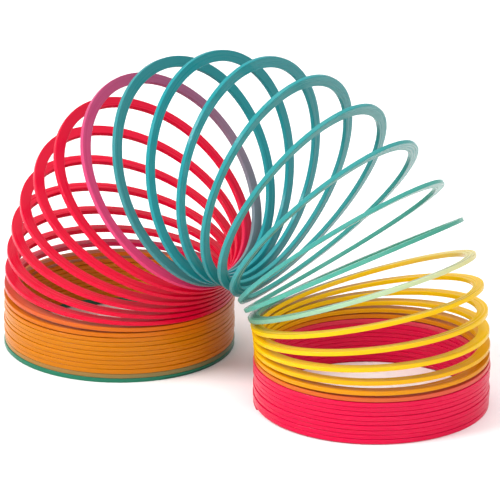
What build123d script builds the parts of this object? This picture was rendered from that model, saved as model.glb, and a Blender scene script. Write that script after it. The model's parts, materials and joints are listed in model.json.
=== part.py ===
from build123d import *
import math
import os

# Spring coil toy: one rectangular plastic strand wound left-handed into a coil,
# standing as an arch on two closed feet. Millimetres, +Z up, the feet on z = 0.
# +X runs from the left foot to the right foot, -Y is the front.
#
# A place on the strand is given in turns, counted from the left foot's tip.
# Whole turns lie on the inner side of the arch, half turns on the outer side.

# ---- driving dimensions ----
coil_diameter = 75.0        # outside, across one turn
strand_width = 3.6          # across the strand, radially
strand_thickness = 1.3      # along the coil's axis
strand_edge_break = 0.3     # how far the strand's four edges are broken
closed_pitch = 1.54         # rise per turn where the feet are shut
crown_pitch = 2.16          # spacing of the turns on the inner side at the crown

left_foot_start = 3.6       # the left foot's tip, in turns
arch_start = 13.0           # first flexing turn
arch_turns = 25             # turns that flex, from foot to foot
arch_angle = 180.0          # how far the arch bends, degrees
arch_lean = 0.04            # moves the widest fan toward the left foot
fan_fullness = 1.5          # 2 is a plain bell, less spreads the fan wider
pitch_fullness = 3.0        # the same for the inner spacing

green_turns = 1.6           # turns of green at the left foot's tip
pink_start = 39.5           # where the right foot turns pink

tip_flat = 0.9              # depth ground off each tip so that the foot stands flat
flex_gap = 0.1              # slit between two neighbouring half turns
stations = 12               # sections along each half turn
steps = 24                  # integration steps along each half turn

coil_radius = (coil_diameter - strand_width) / 2


# ---- the coil's axis, worked out once along the arch ----
def bell(turn, fullness):
    """A bell over the arch: 0 at both feet, 1 at the crown."""
    x = (turn - arch_start) / arch_turns
    x = min(max(x, 0.0), 1.0)
    x = x + arch_lean * x * (1.0 - x)
    return math.sin(math.pi * x) ** fullness


def inner_pitch(turn):
    """Spacing of the turns along the inner side of the arch."""
    return closed_pitch + (crown_pitch - closed_pitch) * bell(turn, pitch_fullness)


count = arch_turns * 2 * steps
step = 1.0 / (2 * steps)
arch_places = [arch_start + i * step for i in range(count + 1)]

tilts = [0.0]
for i in range(count):
    fan = (bell(arch_places[i], fan_fullness) + bell(arch_places[i + 1], fan_fullness)) / 2
    tilts.append(tilts[-1] + fan * step)
tilts = [arch_angle * t / tilts[-1] for t in tilts]

foot_rise = strand_thickness / 2 - tip_flat
inner_x = [0.0]
inner_z = [foot_rise + closed_pitch * (arch_start - left_foot_start)]
for i in range(count):
    mid_tilt = math.radians((tilts[i] + tilts[i + 1]) / 2)
    mid_pitch = inner_pitch((arch_places[i] + arch_places[i + 1]) / 2)
    inner_x.append(inner_x[-1] + mid_pitch * math.sin(mid_tilt) * step)
    inner_z.append(inner_z[-1] + mid_pitch * math.cos(mid_tilt) * step)
half_span = inner_x[-1] / 2
arch_end = arch_start + arch_turns
right_foot_end = arch_end + (inner_z[-1] - foot_rise) / closed_pitch


def axis_place(turn):
    """Inner point and tilt of the coil at a place on the strand."""
    if turn <= arch_start:
        return -half_span, inner_z[0] - closed_pitch * (arch_start - turn), 0.0
    if turn >= arch_end:
        return half_span, inner_z[-1] - closed_pitch * (turn - arch_end), arch_angle
    f = (turn - arch_start) / step
    i = min(int(f), count - 1)
    f -= i
    x = inner_x[i] + (inner_x[i + 1] - inner_x[i]) * f - half_span
    z = inner_z[i] + (inner_z[i + 1] - inner_z[i]) * f
    return x, z, tilts[i] + (tilts[i + 1] - tilts[i]) * f


strand_outline = chamfer(Rectangle(strand_width, strand_thickness).vertices(), strand_edge_break)


def strand_section(turn):
    """The strand's section at a place on it, square to the strand."""
    x, z, tilt = axis_place(turn)
    tilt = math.radians(tilt)
    u = 2 * math.pi * turn
    outward = Vector(-math.cos(tilt), 0, math.sin(tilt))
    along = Vector(math.sin(tilt), 0, math.cos(tilt))
    back = Vector(0, 1, 0)
    centre = Vector(x, 0, z) + outward * (strand_width / 2 + coil_radius * (1 - math.cos(u)))
    centre = centre - back * (coil_radius * math.sin(u))
    radial = outward * -math.cos(u) - back * math.sin(u)
    plane = Plane(origin=centre, x_dir=radial, z_dir=radial.cross(along))
    return (plane * strand_outline).wire()


def strand_length(start, end):
    """A length of strand with square ends, half a flex gap short at each end."""
    trim = flex_gap / 2 / (2 * math.pi * coil_radius)
    a = start + trim
    b = end - trim
    n = max(2, round((b - a) * 2 * stations))
    return Solid.make_loft([strand_section(a + (b - a) * k / n) for k in range(n + 1)])


def closed_turns(start, end):
    """Shut turns of a foot, swept along a plain left-handed helix."""
    trim = flex_gap / 2 / (2 * math.pi * coil_radius)
    a = start + trim
    b = end - trim
    low, high = (a, b) if b <= arch_start else (b, a)
    path = Helix(pitch=closed_pitch, height=closed_pitch * abs(b - a), radius=coil_radius, lefthand=True)
    plane = Plane(origin=path @ 0, x_dir=Vector(1, 0, 0), z_dir=path % 0)
    turns = sweep(sections=plane * strand_outline, path=path, is_frenet=True)
    x, z, tilt = axis_place(low)
    side = math.cos(math.radians(tilt))
    centre_x = x - side * (strand_width / 2 + coil_radius)
    # a left foot climbs clockwise from the inner side, a right foot arrives there
    spin = -360.0 * low if side > 0 else 180.0 + 360.0 * low
    turns = turns.rotate(Axis.Z, spin).translate((centre_x, 0, z))
    floor = Box(2 * coil_diameter, 2 * coil_diameter, 20, align=(Align.CENTER, Align.CENTER, Align.MAX))
    if z < strand_thickness:
        turns = turns - floor.translate((centre_x, 0, 0))
    return turns


# ---- the parts ----
parts = {}
parts["left_foot_green_turns"] = closed_turns(left_foot_start, left_foot_start + green_turns)
parts["left_foot_orange_turns"] = closed_turns(left_foot_start + green_turns, arch_start)
for i in range(arch_turns):
    turn = arch_start + i
    parts[f"arch_turn_{i + 1:02d}_front"] = strand_length(turn, turn + 0.5)
    parts[f"arch_turn_{i + 1:02d}_back"] = strand_length(turn + 0.5, turn + 1)
parts["right_foot_yellow_turns"] = closed_turns(arch_end, pink_start)
parts["right_foot_pink_turns"] = closed_turns(pink_start, right_foot_end)

os.makedirs("parts", exist_ok=True)
for name, shape in parts.items():
    shape.label = name
    export_step(shape, f"parts/{name}.step")
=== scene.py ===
import json
import math

import bpy
from bpy.props import FloatProperty, FloatVectorProperty, IntProperty, PointerProperty
from bpy.types import Operator, Panel, PropertyGroup
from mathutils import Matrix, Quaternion, Vector

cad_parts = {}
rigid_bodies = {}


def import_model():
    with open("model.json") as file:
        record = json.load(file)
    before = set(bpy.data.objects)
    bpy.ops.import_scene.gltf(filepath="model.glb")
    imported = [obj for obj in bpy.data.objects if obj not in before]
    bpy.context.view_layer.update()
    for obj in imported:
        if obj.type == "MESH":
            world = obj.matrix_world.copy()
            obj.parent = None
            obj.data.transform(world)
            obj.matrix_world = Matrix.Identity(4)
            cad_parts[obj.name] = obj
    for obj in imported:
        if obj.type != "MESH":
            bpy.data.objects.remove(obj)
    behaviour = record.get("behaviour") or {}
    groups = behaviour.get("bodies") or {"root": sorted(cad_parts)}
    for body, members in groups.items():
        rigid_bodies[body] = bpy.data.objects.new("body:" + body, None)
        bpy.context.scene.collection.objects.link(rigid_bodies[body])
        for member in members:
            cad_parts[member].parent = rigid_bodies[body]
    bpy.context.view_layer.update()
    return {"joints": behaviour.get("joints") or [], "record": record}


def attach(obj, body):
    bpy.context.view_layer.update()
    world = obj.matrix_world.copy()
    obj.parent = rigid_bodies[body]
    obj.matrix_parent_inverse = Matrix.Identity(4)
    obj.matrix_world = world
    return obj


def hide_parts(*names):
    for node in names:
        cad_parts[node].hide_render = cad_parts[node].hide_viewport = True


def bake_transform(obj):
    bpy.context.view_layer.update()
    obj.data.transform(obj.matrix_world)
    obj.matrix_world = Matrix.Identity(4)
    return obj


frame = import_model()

bl_info = {
    "name": "Spring Coil Toy",
    "version": (1, 0, 0),
    "blender": (4, 5, 0),
    "location": "View3D > Sidebar > Coil Toy",
    "description": "Builds an arched rainbow plastic coil, its plastic and its studio",
    "category": "Add Mesh",
}

# A place on the strand is given in turns. Whole turns lie on the inner side of
# the arch and half turns on the outer side, and the count goes up from the left
# foot to the right foot. +X runs the same way, and -Y is the front.

# ---- waver of the shut turns, as swings: rate per turn, phase and reach
SWAY = ((5.1, 0.0, 1.0), (2.3, 1.0, 0.6))
NOD = ((3.7, 2.0, 1.0),)
# how fast the fan relief comes in, for each part of the fan's bell
RELIEF_RATE = 20.0

# ---- pieces: how far the length of strand round a hinge reaches to each side of it, in turns
HALF_BEND = 0.25

# ---- plastic: flow streaks, clouds of shade, and the range of shade and roughness
STREAK_DETAIL = 3.0
CLOUD_SCALE = 2.0
CLOUD_DETAIL = 2.0
STREAK_LENGTH = 3.0
STREAK_FINENESS = 6.0
SHADE_LOW, SHADE_SPREAD = 0.92, 0.16
ROUGH_LOW, ROUGH_SPREAD = 0.20, 0.16

# ---- studio
FLOOR_REACH = 6.0
LIGHT_TARGET = (0, 0, 0.04)
# name, place, width, height, share of the key light's power
SOFTBOXES = (
    ("key", (-0.45, -0.55, 0.75), 0.45, 0.45, 1.0),
    ("fill", (0.75, -0.55, 0.45), 0.5, 0.7, 0.35),
    ("top", (0.0, 0.25, 0.9), 0.9, 0.5, 0.4),
)
VIEW_MIDDLE = (0.0, 0.0, 0.05)
AIM_RIGHT, AIM_DOWN = 0.0018, 0.0082
# lens in millimetres for each metre of camera distance, which keeps the toy's size
LENS_PER_METRE = 225.6


# ---------------------------------------------------------------- settings
class CoilSize(PropertyGroup):
    """Sizes of the coil and the arch it stands in"""

    coil_diameter: FloatProperty(
        name="Coil diameter", description="Outside, across one turn",
        default=0.075, min=0.02, subtype="DISTANCE", unit="LENGTH")
    strand_width: FloatProperty(
        name="Strand width", description="Across the strand, radially",
        default=0.0036, min=0.0005, subtype="DISTANCE", unit="LENGTH")
    strand_thickness: FloatProperty(
        name="Strand thickness", description="Along the coil's axis",
        default=0.00151, min=0.0003, subtype="DISTANCE", unit="LENGTH")
    fan_relief: FloatProperty(
        name="Fan relief", description="Thickness taken off the turns that open and shut",
        default=0.00012, min=0.0, subtype="DISTANCE", unit="LENGTH")
    edge_radius: FloatProperty(
        name="Edge radius", description="Rounding of the strand's four edges",
        default=0.00025, min=0.00005, subtype="DISTANCE", unit="LENGTH")
    closed_pitch: FloatProperty(
        name="Closed pitch", description="Rise per turn where the feet are shut",
        default=0.00154, min=0.0005, subtype="DISTANCE", unit="LENGTH")
    crown_pitch: FloatProperty(
        name="Crown pitch", description="Inner spacing of the turns at the crown",
        default=0.00216, min=0.0005, subtype="DISTANCE", unit="LENGTH")
    foot_rise: FloatProperty(
        name="Foot rise", description="Height of the strand's middle at either tip",
        default=-0.00025, subtype="DISTANCE", unit="LENGTH")
    left_foot_start: FloatProperty(
        name="Left tip", description="Where the strand starts, in turns", default=3.6)
    arch_start: FloatProperty(
        name="Arch start", description="First flexing turn", default=13.0)
    arch_turns: IntProperty(
        name="Arch turns", description="Turns that flex, foot to foot", default=25, min=4)
    arch_angle: FloatProperty(
        name="Arch angle", description="How far the arch bends",
        default=math.pi, subtype="ANGLE", unit="ROTATION")
    arch_lean: FloatProperty(
        name="Arch lean", description="Moves the widest fan toward the left foot",
        default=0.04)
    fan_fullness: FloatProperty(
        name="Fan fullness", description="2 is a plain bell, less spreads the fan",
        default=1.5, min=0.2)
    pitch_fullness: FloatProperty(
        name="Pitch fullness", description="The same for the inner spacing",
        default=3.0, min=0.2)
    waver: FloatProperty(
        name="Waver", description="How far turns sit out of line with each other",
        default=0.00013, min=0.0, subtype="DISTANCE", unit="LENGTH")
    rings_per_turn: IntProperty(
        name="Rings per turn", description="Cross sections along one turn",
        default=96, min=24)
    corner_points: IntProperty(
        name="Corner points", description="Points round each strand edge",
        default=4, min=2)


def band(name, colour):
    """A colour setting for one band of the plastic."""
    return FloatVectorProperty(
        name=name, description=f"{name} plastic", default=colour,
        size=4, min=0.0, max=1.0, subtype="COLOR")


class CoilColours(PropertyGroup):
    """Colours of the plastic, in order along the strand"""

    green: band("Green", (0.018, 0.165, 0.095, 1.0))
    orange: band("Orange", (0.510, 0.160, 0.001, 1.0))
    magenta: band("Magenta", (0.480, 0.006, 0.075, 1.0))
    red: band("Red", (0.620, 0.001, 0.028, 1.0))
    orchid: band("Orchid", (0.600, 0.035, 0.130, 1.0))
    rose: band("Rose", (0.430, 0.065, 0.165, 1.0))
    mauve: band("Mauve", (0.240, 0.092, 0.164, 1.0))
    slate: band("Slate", (0.152, 0.208, 0.232, 1.0))
    storm: band("Storm", (0.048, 0.195, 0.205, 1.0))
    deep_teal: band("Deep teal", (0.014, 0.235, 0.260, 1.0))
    teal: band("Teal", (0.040, 0.270, 0.268, 1.0))
    sea_green: band("Sea green", (0.080, 0.344, 0.264, 1.0))
    pine: band("Pine", (0.036, 0.200, 0.128, 1.0))
    mint: band("Mint", (0.280, 0.496, 0.336, 1.0))
    lime: band("Lime", (0.576, 0.608, 0.336, 1.0))
    yellow: band("Yellow", (0.760, 0.460, 0.004, 1.0))
    amber: band("Amber", (0.640, 0.240, 0.002, 1.0))
    tangerine: band("Tangerine", (0.560, 0.120, 0.004, 1.0))
    coral: band("Coral", (0.640, 0.050, 0.085, 1.0))
    pink: band("Pink", (0.640, 0.003, 0.050, 1.0))


class StudioSettings(PropertyGroup):
    """Floor, light and camera"""

    floor_colour: FloatVectorProperty(
        name="Floor", description="Colour of the floor",
        default=(0.95, 0.95, 0.95, 1.0), size=4, min=0.0, max=1.0, subtype="COLOR")
    key_power: FloatProperty(
        name="Key light", description="Power of the main softbox",
        default=9.4, min=0.0, unit="POWER")
    sky_strength: FloatProperty(
        name="Sky", description="Strength of the light from all round",
        default=0.62, min=0.0)
    view_azimuth: FloatProperty(
        name="Camera azimuth", description="Camera's turn round the toy to the right",
        default=math.radians(32.45), subtype="ANGLE", unit="ROTATION")
    view_elevation: FloatProperty(
        name="Camera elevation", description="Camera's angle above the floor",
        default=math.radians(19.95), subtype="ANGLE", unit="ROTATION")
    view_roll: FloatProperty(
        name="Camera roll", description="Camera's turn about its own line of sight",
        default=math.radians(0.35), subtype="ANGLE", unit="ROTATION")
    view_distance: FloatProperty(
        name="Camera distance", description="From the middle of the toy",
        default=1.8, min=0.1, subtype="DISTANCE", unit="LENGTH")


# ---------------------------------------------------------------- the strand's line
class StrandLine:
    """Where the strand runs, worked out from the coil's sizes."""

    def __init__(self, size, steps=24):
        self.size = size
        self.radius = (size.coil_diameter - size.strand_width) / 2
        self.start = size.arch_start
        self.end = size.arch_start + size.arch_turns
        self.step = 1.0 / (2 * steps)
        self.count = size.arch_turns * 2 * steps
        places = [self.start + i * self.step for i in range(self.count + 1)]
        tilts = [0.0]
        for i in range(self.count):
            fan = self.bell(places[i], size.fan_fullness)
            fan = (fan + self.bell(places[i + 1], size.fan_fullness)) / 2
            tilts.append(tilts[-1] + fan * self.step)
        self.tilts = [size.arch_angle * t / tilts[-1] for t in tilts]
        self.xs = [0.0]
        self.zs = [size.foot_rise + size.closed_pitch * (self.start - size.left_foot_start)]
        for i in range(self.count):
            tilt = (self.tilts[i] + self.tilts[i + 1]) / 2
            pitch = self.pitch((places[i] + places[i + 1]) / 2)
            self.xs.append(self.xs[-1] + pitch * math.sin(tilt) * self.step)
            self.zs.append(self.zs[-1] + pitch * math.cos(tilt) * self.step)
        self.half_span = self.xs[-1] / 2
        self.tip_left = size.left_foot_start
        self.tip_right = self.end + (self.zs[-1] - size.foot_rise) / size.closed_pitch

    def bell(self, turn, fullness):
        """0 at both feet and 1 at the crown."""
        x = min(max((turn - self.start) / self.size.arch_turns, 0.0), 1.0)
        x += self.size.arch_lean * x * (1.0 - x)
        return math.sin(math.pi * x) ** fullness

    def pitch(self, turn):
        """Inner spacing of the turns."""
        size = self.size
        gain = (size.crown_pitch - size.closed_pitch) * self.bell(turn, size.pitch_fullness)
        return size.closed_pitch + gain

    def axis(self, turn):
        """Inner point and tilt of the coil."""
        if turn <= self.start:
            return -self.half_span, self.zs[0] - self.size.closed_pitch * (self.start - turn), 0.0
        if turn >= self.end:
            down = self.size.closed_pitch * (turn - self.end)
            return self.half_span, self.zs[-1] - down, self.size.arch_angle
        f = (turn - self.start) / self.step
        i = min(int(f), self.count - 1)
        f -= i
        x = self.xs[i] + (self.xs[i + 1] - self.xs[i]) * f - self.half_span
        z = self.zs[i] + (self.zs[i + 1] - self.zs[i]) * f
        return x, z, self.tilts[i] + (self.tilts[i + 1] - self.tilts[i]) * f

    def place(self, turn):
        """Centre of the strand, its radial direction and the coil's axis there."""
        x, z, tilt = self.axis(turn)
        u = 2 * math.pi * turn
        outward = Vector((-math.cos(tilt), 0.0, math.sin(tilt)))
        along = Vector((math.sin(tilt), 0.0, math.cos(tilt)))
        back = Vector((0.0, 1.0, 0.0))
        out = self.size.strand_width / 2 + self.radius * (1 - math.cos(u))
        centre = Vector((x, 0.0, z)) + outward * out - back * (self.radius * math.sin(u))
        radial = -outward * math.cos(u) - back * math.sin(u)
        # shut turns never lie quite true on each other
        shut = 1.0 - self.bell(turn, 0.5)
        sway = sum(reach * math.sin(rate * turn + phase) for rate, phase, reach in SWAY)
        nod = sum(reach * math.sin(rate * turn + phase) for rate, phase, reach in NOD)
        centre += Vector((sway, nod, 0.0)) * (self.size.waver * shut * self.lift(turn))
        return centre, radial, along

    def thickness_share(self, turn):
        """Thickness at a place, as a share of the full thickness in the feet."""
        relief = self.size.fan_relief * min(1.0, RELIEF_RATE * self.bell(turn, 1.0))
        return 1.0 - relief / self.size.strand_thickness

    def lift(self, turn):
        """0 at either tip, growing to 1 over the first turn from it."""
        return min(1.0, max(0.0, min(turn - self.tip_left, self.tip_right - turn)))


def strand_outline(size):
    """Rounded section as (across, along, normal across, normal along)."""
    a = size.strand_width / 2 - size.edge_radius
    b = size.strand_thickness / 2 - size.edge_radius
    points = []
    for corner, (sa, sb) in enumerate(((1, 1), (-1, 1), (-1, -1), (1, -1))):
        for i in range(size.corner_points):
            angle = math.pi / 2 * (corner + i / (size.corner_points - 1))
            ca, cb = math.cos(angle), math.sin(angle)
            points.append((sa * a + size.edge_radius * ca, sb * b + size.edge_radius * cb, ca, cb))
    return points


def build_strand(name, line, start, end):
    """A length of strand as one smooth mesh that knows its place along the coil."""
    size = line.size
    outline = strand_outline(size)
    sides = len(outline)
    rings = max(3, round((end - start) * size.rings_per_turn) + 1)
    verts, normals, turns, around = [], [], [], []
    for r in range(rings):
        turn = start + (end - start) * r / (rings - 1)
        centre, radial, along = line.place(turn)
        share = line.thickness_share(turn)
        for p, (a, b, na, nb) in enumerate(outline):
            point = centre + radial * a + along * (b * share)
            normal = radial * na + along * nb
            if point.z < 0.0:
                point.z = 0.0
                normal = Vector((0.0, 0.0, -1.0))
            verts.append(point)
            normals.append(normal)
            turns.append(turn)
            around.append(p / sides)
    faces = []
    for r in range(rings - 1):
        for p in range(sides):
            q = (p + 1) % sides
            faces.append((r * sides + p, r * sides + q, (r + 1) * sides + q, (r + 1) * sides + p))
    mesh = bpy.data.meshes.new(name)
    caps = [tuple(range(sides))[::-1], tuple((rings - 1) * sides + p for p in range(sides))]
    mesh.from_pydata(verts, [], faces + caps)
    mesh.update()
    if mesh.polygons[0].normal.dot(normals[0] + normals[1]) < 0:
        mesh.flip_normals()
    mesh.shade_smooth()
    mesh.normals_split_custom_set_from_vertices(normals)
    for kind, values in (("turn", turns), ("around", around)):
        mesh.attributes.new(kind, "FLOAT", "POINT").data.foreach_set("value", values)
    obj = bpy.data.objects.new(name, mesh)
    bpy.context.scene.collection.objects.link(obj)
    obj.data.materials.append(rainbow_plastic(line))
    return obj


# ---------------------------------------------------------------- plastic
def new_group(name, inputs, outputs):
    """An empty shader node group with named sockets."""
    group = bpy.data.node_groups.new(name, "ShaderNodeTree")
    for socket, kind, default in inputs:
        made = group.interface.new_socket(socket, in_out="INPUT", socket_type=kind)
        made.default_value = default
    for socket, kind in outputs:
        group.interface.new_socket(socket, in_out="OUTPUT", socket_type=kind)
    nodes = group.nodes
    return group, nodes.new("NodeGroupInput"), nodes.new("NodeGroupOutput")


def maths(tree, operation, *values):
    """A Math node on one to three sockets or numbers."""
    node = tree.nodes.new("ShaderNodeMath")
    node.operation = operation
    for i, value in enumerate(values):
        if isinstance(value, (int, float)):
            node.inputs[i].default_value = value
        else:
            tree.links.new(value, node.inputs[i])
    return node.outputs[0]


def strand_space(tree):
    """The place along the strand, and coordinates for noise that stay on it."""
    turn = tree.nodes.new("ShaderNodeAttribute")
    turn.attribute_name = "turn"
    around = tree.nodes.new("ShaderNodeAttribute")
    around.attribute_name = "around"
    ring = maths(tree, "MULTIPLY", around.outputs["Fac"], 2 * math.pi)
    vector = tree.nodes.new("ShaderNodeCombineXYZ")
    tree.links.new(turn.outputs["Fac"], vector.inputs[0])
    tree.links.new(maths(tree, "COSINE", ring), vector.inputs[1])
    tree.links.new(maths(tree, "SINE", ring), vector.inputs[2])
    return turn.outputs["Fac"], vector.outputs[0]


def streaks_group():
    """Faint lines drawn along the strand where the plastic flowed."""
    found = bpy.data.node_groups.get("Flow streaks")
    if found:
        return found
    group, inside, outside = new_group(
        "Flow streaks",
        [("Length", "NodeSocketFloat", STREAK_LENGTH),
         ("Fineness", "NodeSocketFloat", STREAK_FINENESS)],
        [("Streaks", "NodeSocketFloat"), ("Clouds", "NodeSocketFloat")])
    vector = strand_space(group)[1]
    stretch = group.nodes.new("ShaderNodeCombineXYZ")
    for i, socket in enumerate(("Length", "Fineness", "Fineness")):
        group.links.new(inside.outputs[socket], stretch.inputs[i])
    scaled = group.nodes.new("ShaderNodeVectorMath")
    scaled.operation = "MULTIPLY"
    group.links.new(vector, scaled.inputs[0])
    group.links.new(stretch.outputs[0], scaled.inputs[1])
    noise = group.nodes.new("ShaderNodeTexNoise")
    noise.inputs["Scale"].default_value = 1.0
    noise.inputs["Detail"].default_value = STREAK_DETAIL
    group.links.new(scaled.outputs[0], noise.inputs["Vector"])
    group.links.new(noise.outputs["Fac"], outside.inputs["Streaks"])
    clouds = group.nodes.new("ShaderNodeTexNoise")
    clouds.inputs["Scale"].default_value = CLOUD_SCALE
    clouds.inputs["Detail"].default_value = CLOUD_DETAIL
    group.links.new(vector, clouds.inputs["Vector"])
    group.links.new(clouds.outputs["Fac"], outside.inputs["Clouds"])
    return group


def band_stops(line):
    """Where each band is pure, in turns, with its colour's name."""
    a, b = line.tip_left, line.tip_right
    return [
        (a + 1.2, "green"), (a + 2.0, "orange"), (12.5, "orange"),
        (15.2, "tangerine"), (15.6, "magenta"), (16.0, "red"), (21.8, "red"),
        (22.15, "orchid"), (22.5, "rose"), (22.68, "mauve"), (22.85, "slate"),
        (23.1, "storm"), (23.7, "deep_teal"), (25.2, "deep_teal"), (28.4, "teal"),
        (30.3, "sea_green"), (31.08, "pine"), (31.28, "mint"), (31.46, "lime"),
        (31.75, "yellow"), (34.6, "yellow"), (36.4, "amber"), (37.2, "tangerine"),
        (37.7, "coral"), (38.2, "pink"), (b, "pink"),
    ]


def rainbow_plastic(line):
    """Glossy, slightly milky plastic whose colour runs along the strand."""
    found = bpy.data.materials.get("Rainbow plastic")
    if found:
        return found
    colours = bpy.context.scene.coil_colours
    material = bpy.data.materials.new("Rainbow plastic")
    material.use_nodes = True
    tree = material.node_tree
    shader = tree.nodes["Principled BSDF"]
    turn = strand_space(tree)[0]
    span = line.tip_right - line.tip_left
    ramp = tree.nodes.new("ShaderNodeValToRGB")
    tree.links.new(
        maths(tree, "DIVIDE", maths(tree, "SUBTRACT", turn, line.tip_left), span),
        ramp.inputs["Fac"])
    stops = [((place - line.tip_left) / span, name) for place, name in band_stops(line)]
    elements = ramp.color_ramp.elements
    elements.remove(elements[1])
    elements[0].position = 0.0
    elements[0].color = getattr(colours, stops[0][1])
    for position, name in stops:
        elements.new(position).color = getattr(colours, name)
    streaks = tree.nodes.new("ShaderNodeGroup")
    streaks.node_tree = streaks_group()
    streaks.inputs["Length"].default_value = STREAK_LENGTH
    streaks.inputs["Fineness"].default_value = STREAK_FINENESS
    shade = tree.nodes.new("ShaderNodeHueSaturation")
    tree.links.new(ramp.outputs["Color"], shade.inputs["Color"])
    value = maths(tree, "MULTIPLY_ADD", streaks.outputs["Clouds"], SHADE_SPREAD, SHADE_LOW)
    tree.links.new(value, shade.inputs["Value"])
    tree.links.new(shade.outputs["Color"], shader.inputs["Base Color"])
    rough = maths(tree, "MULTIPLY_ADD", streaks.outputs["Streaks"], ROUGH_SPREAD, ROUGH_LOW)
    tree.links.new(rough, shader.inputs["Roughness"])
    bump = tree.nodes.new("ShaderNodeBump")
    bump.inputs["Strength"].default_value = 0.12
    bump.inputs["Distance"].default_value = 0.0002
    tree.links.new(streaks.outputs["Streaks"], bump.inputs["Height"])
    tree.links.new(bump.outputs["Normal"], shader.inputs["Normal"])
    shader.inputs["IOR"].default_value = 1.5
    shader.inputs["Specular IOR Level"].default_value = 0.09
    shader.inputs["Subsurface Weight"].default_value = 0.15
    shader.inputs["Subsurface Radius"].default_value = (1.0, 0.6, 0.4)
    shader.inputs["Subsurface Scale"].default_value = 0.0012
    shader.inputs["Coat Weight"].default_value = 0.12
    shader.inputs["Coat Roughness"].default_value = 0.06
    return material


# ---------------------------------------------------------------- pieces
def strand_line():
    """The strand's line for the scene's present sizes."""
    return StrandLine(bpy.context.scene.coil_size)


def hinges():
    """The model's hinges in order along the strand: place in turns, joint."""
    start = bpy.context.scene.coil_size.arch_start
    found = []
    for joint in frame["joints"]:
        kind, number = joint["name"].split("_flex_")
        place = start + int(number) - (0.5 if kind == "outer" else 0.0)
        found.append((place, joint))
    return sorted(found, key=lambda pair: pair[0])


def nodes_of(body):
    """The CAD nodes on a body."""
    return list(frame["record"]["behaviour"]["bodies"][body])


class COILTOY_OT_left_foot(Operator):
    """The shut turns of the left foot"""

    bl_idname = "coiltoy.left_foot"
    bl_label = "Left foot"

    def execute(self, context):
        line = strand_line()
        place, joint = hinges()[0]
        foot = build_strand("left_foot_turns", line, line.tip_left, place - HALF_BEND)
        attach(foot, joint["parent"])
        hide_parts(*nodes_of(joint["parent"]))
        return {"FINISHED"}


class COILTOY_OT_arch(Operator):
    """The fanned turns of the arch, one length of strand round each hinge"""

    bl_idname = "coiltoy.arch"
    bl_label = "Arch"

    def execute(self, context):
        line = strand_line()
        found = hinges()
        for i, (place, joint) in enumerate(found):
            name = joint["name"].replace("_flex_", "_bend_")
            piece = build_strand(name, line, place - HALF_BEND, place + HALF_BEND)
            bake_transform(piece)
            nodes = nodes_of(joint["child"])
            if i + 1 < len(found):
                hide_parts(*nodes)
        return {"FINISHED"}


class COILTOY_OT_right_foot(Operator):
    """The shut turns of the right foot"""

    bl_idname = "coiltoy.right_foot"
    bl_label = "Right foot"

    def execute(self, context):
        line = strand_line()
        place, joint = hinges()[-1]
        foot = build_strand("right_foot_turns", line, place + HALF_BEND, line.tip_right)
        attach(foot, joint["child"])
        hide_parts(*nodes_of(joint["child"]))
        return {"FINISHED"}


# ---------------------------------------------------------------- studio
def softbox(name, place, width, height, power):
    """A rectangular area light aimed at the toy."""
    light = bpy.data.lights.new(name, "AREA")
    light.shape = "RECTANGLE"
    light.size, light.size_y = width, height
    light.energy = power
    lamp = bpy.data.objects.new(name, light)
    lamp.location = place
    aim = Vector(LIGHT_TARGET) - Vector(place)
    lamp.rotation_euler = aim.to_track_quat("-Z", "Y").to_euler()
    bpy.context.scene.collection.objects.link(lamp)


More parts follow.
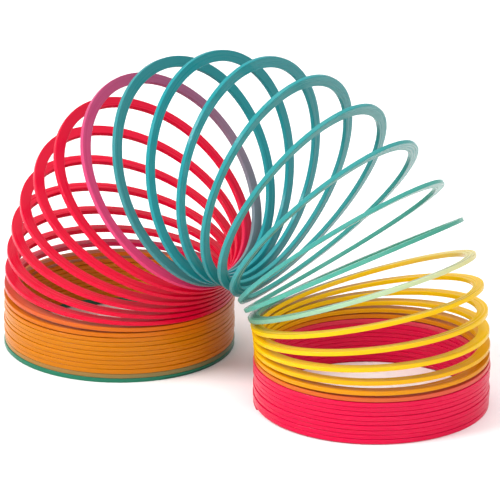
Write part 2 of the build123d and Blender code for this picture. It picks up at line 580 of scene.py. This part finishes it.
class COILTOY_OT_studio(Operator):
    """Pale floor, soft lights and the camera"""

    bl_idname = "coiltoy.studio"
    bl_label = "Studio"

    def execute(self, context):
        scene = context.scene
        settings = scene.coil_studio
        mesh = bpy.data.meshes.new("floor")
        s = FLOOR_REACH
        mesh.from_pydata([(-s, -s, 0), (s, -s, 0), (s, s, 0), (-s, s, 0)], [], [(0, 1, 2, 3)])
        floor = bpy.data.objects.new("floor", mesh)
        scene.collection.objects.link(floor)
        paper = bpy.data.materials.new("Pale floor")
        paper.use_nodes = True
        shader = paper.node_tree.nodes["Principled BSDF"]
        shader.inputs["Base Color"].default_value = settings.floor_colour
        shader.inputs["Roughness"].default_value = 0.9
        shader.inputs["Specular IOR Level"].default_value = 0.1
        mesh.materials.append(paper)

        for name, place, width, height, share in SOFTBOXES:
            softbox(name, place, width, height, settings.key_power * share)

        world = bpy.data.worlds.new("Studio")
        world.use_nodes = True
        back = world.node_tree.nodes["Background"]
        back.inputs["Color"].default_value = (1.0, 1.0, 1.0, 1.0)
        back.inputs["Strength"].default_value = settings.sky_strength
        scene.world = world
        scene.view_settings.view_transform = "Standard"

        az, el = settings.view_azimuth, settings.view_elevation
        back_way = Vector((math.sin(az), -math.cos(az), 0.0)) * math.cos(el)
        back_way.z = math.sin(el)
        right = Vector((math.cos(az), math.sin(az), 0.0))
        up = back_way.cross(right)
        middle = Vector(VIEW_MIDDLE)
        target = middle + right * AIM_RIGHT - up * AIM_DOWN
        data = bpy.data.cameras.new("camera")
        data.sensor_width = 36.0
        data.lens = LENS_PER_METRE * settings.view_distance
        data.clip_end = 50.0
        camera = bpy.data.objects.new("camera", data)
        camera.location = middle + back_way * settings.view_distance
        aim = (target - camera.location).to_track_quat("-Z", "Y")
        camera.rotation_euler = (aim @ Quaternion((0, 0, 1), settings.view_roll)).to_euler()
        scene.collection.objects.link(camera)
        scene.camera = camera
        return {"FINISHED"}


class COILTOY_PT_panel(Panel):
    """Buttons and settings for the coil toy"""

    bl_idname = "COILTOY_PT_panel"
    bl_label = "Coil Toy"
    bl_space_type = "VIEW_3D"
    bl_region_type = "UI"
    bl_category = "Coil Toy"

    def draw(self, context):
        scene = context.scene
        for group in (scene.coil_size, scene.coil_colours, scene.coil_studio):
            box = self.layout.box()
            for name in group.bl_rna.properties.keys():
                if name not in ("rna_type", "name"):
                    box.prop(group, name)
        for operator in OPERATORS:
            self.layout.operator(operator.bl_idname)


OPERATORS = (
    COILTOY_OT_left_foot, COILTOY_OT_arch, COILTOY_OT_right_foot, COILTOY_OT_studio,
)
CLASSES = (CoilSize, CoilColours, StudioSettings, *OPERATORS, COILTOY_PT_panel)


def register():
    """Adds the settings, operators and panel."""
    for cls in CLASSES:
        bpy.utils.register_class(cls)
    bpy.types.Scene.coil_size = PointerProperty(type=CoilSize)
    bpy.types.Scene.coil_colours = PointerProperty(type=CoilColours)
    bpy.types.Scene.coil_studio = PointerProperty(type=StudioSettings)


def unregister():
    """Removes them again."""
    del bpy.types.Scene.coil_size
    del bpy.types.Scene.coil_colours
    del bpy.types.Scene.coil_studio
    for cls in reversed(CLASSES):
        bpy.utils.unregister_class(cls)


def main():
    """Builds the toy and its studio."""
    register()
    bpy.ops.coiltoy.left_foot()
    bpy.ops.coiltoy.arch()
    bpy.ops.coiltoy.right_foot()
    bpy.ops.coiltoy.studio()


if __name__ == "__main__":
    main()
